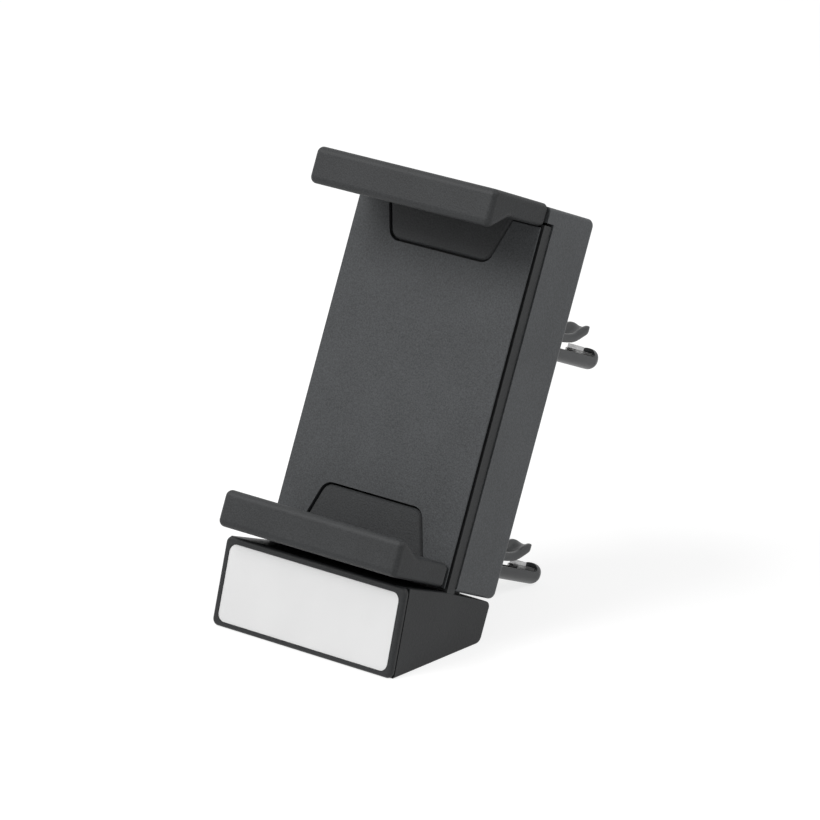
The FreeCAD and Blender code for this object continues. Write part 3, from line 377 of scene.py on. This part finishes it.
def curve_at(points, d):
    """Height at d of a smooth curve through (d, height) points."""
    slopes = []
    for k in range(len(points)):
        low = points[max(k - 1, 0)]
        high = points[min(k + 1, len(points) - 1)]
        slopes.append((high[1] - low[1]) / (high[0] - low[0]))
    slopes[0] = 0.0
    slopes[1] = 0.0
    for k in range(len(points) - 1):
        (d0, h0), (d1, h1) = points[k], points[k + 1]
        if d <= d1 or k == len(points) - 2:
            run = d1 - d0
            t = (d - d0) / run
            return (
                h0 * (1 + 2 * t) * (1 - t) ** 2
                + slopes[k] * run * t * (1 - t) ** 2
                + h1 * t * t * (3 - 2 * t)
                + slopes[k + 1] * run * t * t * (t - 1)
            )


def skin(name, sections):
    """Closed skin over sections of (x, d, h) points, capped at both ends."""
    count = len(sections[0])
    corners = [Vector(point) * MM for section in sections for point in section]
    faces = []
    for s in range(len(sections) - 1):
        for k in range(count):
            a = s * count + k
            b = s * count + (k + 1) % count
            faces.append((a, b, b + count, a + count))
    last = (len(sections) - 1) * count
    faces.append(tuple(reversed(range(count))))
    faces.append(tuple(range(last, last + count)))
    mesh = bpy.data.meshes.new(name)
    mesh.from_pydata(corners, [], faces)
    work = bmesh.new()
    work.from_mesh(mesh)
    bmesh.ops.recalc_face_normals(work, faces=work.faces)
    work.to_mesh(mesh)
    work.free()
    obj = bpy.data.objects.new(name, mesh)
    scene.collection.objects.link(obj)
    return obj


def brick(name, x, d0, d1, h0, h1):
    """Block from -x to x, with d as in the sizes above and h counted from the pin."""
    corners = ((-x, h0), (x, h0), (x, h1), (-x, h1))
    return skin(name, [[(a, d - PIN_BACK, h) for a, h in corners] for d in (d0, d1)])


def carve(obj, tool, operation="DIFFERENCE"):
    """Cuts the tool from the object, or keeps only what both share, and deletes the tool."""
    modifier = obj.modifiers.new("carve", "BOOLEAN")
    modifier.operation = operation
    modifier.solver = "EXACT"
    modifier.object = tool
    evaluated = obj.evaluated_get(bpy.context.evaluated_depsgraph_get())
    mesh = bpy.data.meshes.new_from_object(evaluated)
    obj.modifiers.clear()
    obj.data = mesh
    bpy.data.objects.remove(tool)


def join_meshes(obj, other):
    """Adds the other object's mesh to the first one's and deletes the other."""
    work = bmesh.new()
    work.from_mesh(obj.data)
    work.from_mesh(other.data)
    work.to_mesh(obj.data)
    work.free()
    bpy.data.objects.remove(other)


def cad_piece(name, node, rest, at_node):
    """Copy of a CAD node's mesh, drawn about the hinge pin and moved out with the clip."""
    mesh = nodes[node].data.copy()
    mesh.transform(rest.inverted() @ at_node.inverted() @ nodes[node].matrix_world)
    obj = bpy.data.objects.new(name, mesh)
    scene.collection.objects.link(obj)
    return obj


def finish_piece(obj, rest, material, body, node, bevel_mm):
    """Gives the piece its material and edges, sets it in place and lets it stand for a CAD node."""
    obj.data.materials.clear()
    obj.data.materials.append(material)
    for face in obj.data.polygons:
        face.use_smooth = True
        face.material_index = 0
    obj.data.set_sharp_from_angle(angle=SHARP_ANGLE)
    if bevel_mm:
        bevel = obj.modifiers.new("edges", "BEVEL")
        bevel.width = bevel_mm * MM
        bevel.segments = 2
        bevel.limit_method = "ANGLE"
        bevel.angle_limit = BEVEL_ANGLE
        bevel.harden_normals = True
    obj.data.transform(rest)
    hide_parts(node)
    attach(obj, body)


def bent(value, power):
    """A sine or cosine raised to a power, with its sign kept."""
    return math.copysign(abs(value) ** power, value)


def claw_section(d, datum):
    """Section of the claw: round underside, a thin rim and the dish between."""
    share = max(0.0, (d - CLAW_TIP + CLAW_NOSE) / CLAW_NOSE)
    half = CLAW_HALF * math.sqrt(max(LEAST_WIDTH, 1 - share * share))
    ending = max(0.0, (d - CLAW_TIP + CLAW_ROUND) / CLAW_ROUND)
    thin = math.sqrt(max(LEAST_THICKNESS, 1 - ending * ending))
    under = curve_at(CLAW_UNDER, d)
    over = curve_at(CLAW_RIM, d)
    middle = (under + over) / 2
    low = middle + (under - middle) * thin
    rim = middle + (over - middle) * thin
    edge = CLAW_EDGE_SHARE * half
    soft = min(CLAW_SOFT, (rim - low) / 3)
    section = []
    for k in range(BELLY_STEPS + 1):
        turn = math.pi * k / BELLY_STEPS
        x = half * bent(math.cos(turn), CLAW_SIDE_POWER)
        h = rim - soft - (rim - soft - low) * abs(math.sin(turn)) ** CLAW_BELLY_POWER
        section.append((x, h))
    section.append((-half + EDGE_BREAK * edge, rim - SOFT_BREAK * soft))
    section.append((-half + edge, rim))
    inner = half - DISH_INSET * edge
    deep = min(curve_at(CLAW_DISH, d), CLAW_DISH_SHARE * (rim - low))
    for k in range(DISH_STEPS + 1):
        u = 2 * k / DISH_STEPS - 1
        section.append((u * inner, rim - deep * (1 - u * u) - CLAW_DISH_DROP))
    section.append((half - edge, rim))
    section.append((half - EDGE_BREAK * edge, rim - SOFT_BREAK * soft))
    return [(x, d - PIN_BACK, h + datum) for x, h in section]


def make_claw(clip, rest, datum, at_node):
    """Claw: the bracket of the solid's claw, with the dished prong in place of its own."""
    claw = cad_piece(clip + "_claw_shape", clip + "_claw", rest, at_node)
    clear_start = CLAW_ROOT + CLAW_OVERLAP
    clear_low = PIN_DROP - CLAW_CLEAR_DROP
    clear_high = PIN_DROP + LID_HEIGHT
    carve(claw, brick("clear", CLAW_HALF + CLAW_CLEAR, clear_start, CLAW_CLEAR_END, clear_low, clear_high))
    bend = CLAW_UNDER[1][0]
    steps = [CLAW_ROOT, CLAW_NECK]
    steps += [bend + CLAW_SECTION_STEP * k for k in range(CLAW_SECTIONS)]
    last = steps[-1]
    for k in range(1, CLAW_TIP_SECTIONS + 1):
        steps.append(last + (CLAW_TIP - last) * math.sin(math.pi / 2 * k / CLAW_TIP_SECTIONS))
    join_meshes(claw, skin("prong", [claw_section(d, datum) for d in steps]))
    finish_piece(claw, rest, clip_plastic.material, "body", clip + "_claw", 0.0)


def round_bar(name, radius, start, end, middle, ball, square=1.0):
    """Bar along d, with a ball end if asked for, and a squarer upper half where square is under 1."""
    places = [(start, radius), (end, radius)]
    if ball:
        for k in range(1, BALL_RINGS):
            a = math.pi / 2 * k / BALL_RINGS
            places.append((end + radius * math.sin(a), radius * math.cos(a)))
    sections = []
    for d, r in places:
        section = []
        for k in range(BAR_SIDES):
            a = 2 * math.pi * k / BAR_SIDES
            power = square if math.sin(a) > 0 else 1.0
            x = r * bent(math.cos(a), power)
            h = r * bent(math.sin(a), power)
            section.append((x, d - PIN_BACK, middle + h))
        sections.append(section)
    return skin(name, sections)


def above_rim(rim):
    """Body over the lever's rim, which leaves the nose standing with a fillet at its foot."""
    start = KNUCKLE_END - KNUCKLE_CLEAR
    profile = [(start, rim), (NOSE_FRONT - NOSE_FILLET, rim)]
    for k in range(1, NOSE_STEPS + 1):
        a = math.pi / 2 * k / NOSE_STEPS
        d = NOSE_FRONT - NOSE_FILLET * (1 - math.sin(a))
        h = rim + NOSE_FILLET * (1 - math.cos(a))
        profile.append((d, h))
    profile += [(NOSE_FRONT, rim + LID_HEIGHT), (start, rim + LID_HEIGHT)]
    return skin("above", [[(x, d - PIN_BACK, h) for d, h in profile] for x in (-LID_HALF, LID_HALF)])


def make_lever(clip, rest, datum, at_node):
    """Lever: the solid's knuckle with a trough that ends in a ball."""
    middle = datum + LEVER_MIDDLE
    rim = datum + LEVER_RIM
    inner = LEVER_HALF - LEVER_WALL
    bar_start = KNUCKLE_END - KNUCKLE_OVERLAP
    bar_end = LEVER_END - LEVER_HALF
    trough_start = KNUCKLE_END - KNUCKLE_CLEAR
    trough_end = NOSE_FRONT - NOSE_WALL
    lever = round_bar(clip + "_lever_shape", LEVER_HALF, bar_start, bar_end, middle, True, LEVER_SQUARE)
    carve(lever, above_rim(rim))
    carve(lever, round_bar("trough", inner, trough_start, trough_end, middle, False))
    carve(lever, brick("mouth", inner, trough_start, trough_end, middle, rim + MOUTH_RISE))
    knuckle = cad_piece("knuckle", clip + "_lever", rest, at_node)
    keep = brick("keep", KNUCKLE_HALF, -TOOL_REACH, KNUCKLE_END, -TOOL_REACH, TOOL_REACH)
    carve(knuckle, keep, "INTERSECT")
    join_meshes(lever, knuckle)
    finish_piece(lever, rest, clip_plastic.material, clip + "_lever_set", clip + "_lever", LEVER_BEVEL)


def make_pad(clip, rest, datum):
    """Clear rubber strip in the lever's trough, with a block that grips the louvre."""
    floor = datum + LEVER_MIDDLE - PAD_FLOOR_DROP
    base_top = datum + PAD_BASE_TOP
    inner = LEVER_HALF - LEVER_WALL - PAD_SIDE_GAP
    base_end = NOSE_FRONT - PAD_BASE_GAP
    pad = brick(clip + "_pad_shape", inner, PAD_BASE_START, base_end, floor, base_top)
    block = brick("block", PAD_HALF, PAD_START, PAD_END, floor + PAD_BLOCK_RISE, datum + PAD_TOP)
    join_meshes(pad, block)
    finish_piece(pad, rest, RUBBER, clip + "_lever_set", clip + "_pad", PAD_BEVEL)


def prop_angle(pin, datum):
    """Turn about the pin that sets the lever's ball end on the ground."""
    reach_d = LEVER_END - LEVER_HALF - PIN_BACK
    reach_h = datum + LEVER_MIDDLE
    rest = math.atan2(reach_h, reach_d) - LEAN
    height = (LEVER_HALF + LEVER_OFF_GROUND - pin.z / MM) / math.hypot(reach_d, reach_h)
    return math.asin(height) - rest


def make_clips():
    """All four clips. The lower levers rest on the ground, as in the photograph."""
    hinges = [joint for joint in frame["joints"] if "lever" in joint["name"]]
    pins = {joint["child"]: Vector(joint["pos_m"]) for joint in hinges}
    for clip in CLIPS:
        pin = pins[clip + "_lever_set"]
        row = clip.split("_")[0]
        datum = PIN_DROP + ROW_SHIFT[row]
        out = Vector((math.copysign(SIDE_SHIFT * MM, pin.x), 0.0, 0.0))
        upright = Matrix.Translation(pin + out) @ Matrix.Rotation(-LEAN, 4, "X")
        turn = prop_angle(pin, datum) if row == "lower" else 0.0
        propped = Matrix.Translation(pin + out) @ Matrix.Rotation(turn - LEAN, 4, "X")
        at_node = Matrix.Translation(-out)
        make_claw(clip, upright, datum, at_node)
        make_lever(clip, propped, datum, at_node)
        make_pad(clip, propped, datum)
        for part, material in (("_hinge_pin", SCREW), ("_torsion_spring", SPRING)):
            moved = cad_piece(clip + part + "_shape", clip + part, upright, at_node)
            finish_piece(moved, upright, material, "body", clip + part, 0.0)


make_clips()


# Floor, world and lamps

SHADOW_SHARE = 0.35         # of the seen floor's white that the lamps light, and so can be shaded
FLOOR_GLOW = 0.78
FLOOR_REACH = 3.0
FLOOR_DROP = 1e-5
WORLD_LIT = 0.3
KEY_PLACE = (-0.3, -0.5, 0.75)
KEY_SIZE = 0.5
KEY_POWER = 6.5
FILL_PLACE = (0.4, 0.15, 0.5)
FILL_SIZE = 0.3
FILL_POWER = 0.9
MIDDLE = (0.0, 0.0, 0.04)


def seen_by_eye(tree):
    """1 for rays from the camera and for those that metal or clear stuff sends on, else 0."""
    path = tree.nodes.new("ShaderNodeLightPath")
    first = tree.nodes.new("ShaderNodeMath")
    first.operation = "MAXIMUM"
    tree.links.new(path.outputs["Is Camera Ray"], first.inputs[0])
    tree.links.new(path.outputs["Is Transmission Ray"], first.inputs[1])
    second = tree.nodes.new("ShaderNodeMath")
    second.operation = "MAXIMUM"
    tree.links.new(first.outputs[0], second.inputs[0])
    tree.links.new(path.outputs["Is Glossy Ray"], second.inputs[1])
    return second.outputs[0]


def make_floor():
    """White floor that keeps the object's shadow."""
    mesh = bpy.data.meshes.new("floor")
    signs = ((-1, -1), (1, -1), (1, 1), (-1, 1))
    corners = [(x * FLOOR_REACH, y * FLOOR_REACH, -FLOOR_DROP) for x, y in signs]
    mesh.from_pydata(corners, [], [(0, 1, 2, 3)])
    floor = bpy.data.objects.new("floor", mesh)
    scene.collection.objects.link(floor)
    material = bpy.data.materials.new("floor")
    material.use_nodes = True
    tree = material.node_tree
    tree.nodes.clear()
    out = tree.nodes.new("ShaderNodeOutputMaterial")
    plain = tree.nodes.new("ShaderNodeBsdfDiffuse")
    plain.inputs["Color"].default_value = (0.8, 0.8, 0.8, 1)
    shadow = tree.nodes.new("ShaderNodeBsdfDiffuse")
    shadow.inputs["Color"].default_value = (SHADOW_SHARE, SHADOW_SHARE, SHADOW_SHARE, 1)
    glow = tree.nodes.new("ShaderNodeEmission")
    glow.inputs["Strength"].default_value = FLOOR_GLOW
    seen = tree.nodes.new("ShaderNodeAddShader")
    tree.links.new(shadow.outputs[0], seen.inputs[0])
    tree.links.new(glow.outputs[0], seen.inputs[1])
    mix = tree.nodes.new("ShaderNodeMixShader")
    tree.links.new(seen_by_eye(tree), mix.inputs["Fac"])
    tree.links.new(plain.outputs[0], mix.inputs[1])
    tree.links.new(seen.outputs[0], mix.inputs[2])
    tree.links.new(mix.outputs[0], out.inputs["Surface"])
    mesh.materials.append(material)


def make_world():
    """Soft light from all round, seen as white."""
    world = bpy.data.worlds.new("world")
    scene.world = world
    world.use_nodes = True
    tree = world.node_tree
    tree.nodes.clear()
    out = tree.nodes.new("ShaderNodeOutputWorld")
    lit = tree.nodes.new("ShaderNodeBackground")
    lit.inputs["Color"].default_value = (1, 1, 1, 1)
    lit.inputs["Strength"].default_value = WORLD_LIT
    seen = tree.nodes.new("ShaderNodeBackground")
    seen.inputs["Color"].default_value = (1, 1, 1, 1)
    seen.inputs["Strength"].default_value = 1.0
    mix = tree.nodes.new("ShaderNodeMixShader")
    tree.links.new(seen_by_eye(tree), mix.inputs["Fac"])
    tree.links.new(lit.outputs[0], mix.inputs[1])
    tree.links.new(seen.outputs[0], mix.inputs[2])
    tree.links.new(mix.outputs[0], out.inputs["Surface"])


def area_lamp(name, place, target, size, power):
    data = bpy.data.lights.new(name, "AREA")
    data.shape = "SQUARE"
    data.size = size
    data.energy = power
    lamp = bpy.data.objects.new(name, data)
    direction = Vector(target) - Vector(place)
    lamp.rotation_mode = "QUATERNION"
    lamp.rotation_quaternion = direction.to_track_quat("-Z", "Y")
    lamp.location = place
    scene.collection.objects.link(lamp)


make_floor()
make_world()
make_camera()
area_lamp("key", KEY_PLACE, MIDDLE, KEY_SIZE, KEY_POWER)
area_lamp("fill", FILL_PLACE, MIDDLE, FILL_SIZE, FILL_POWER)
scene.view_settings.view_transform = "Standard"
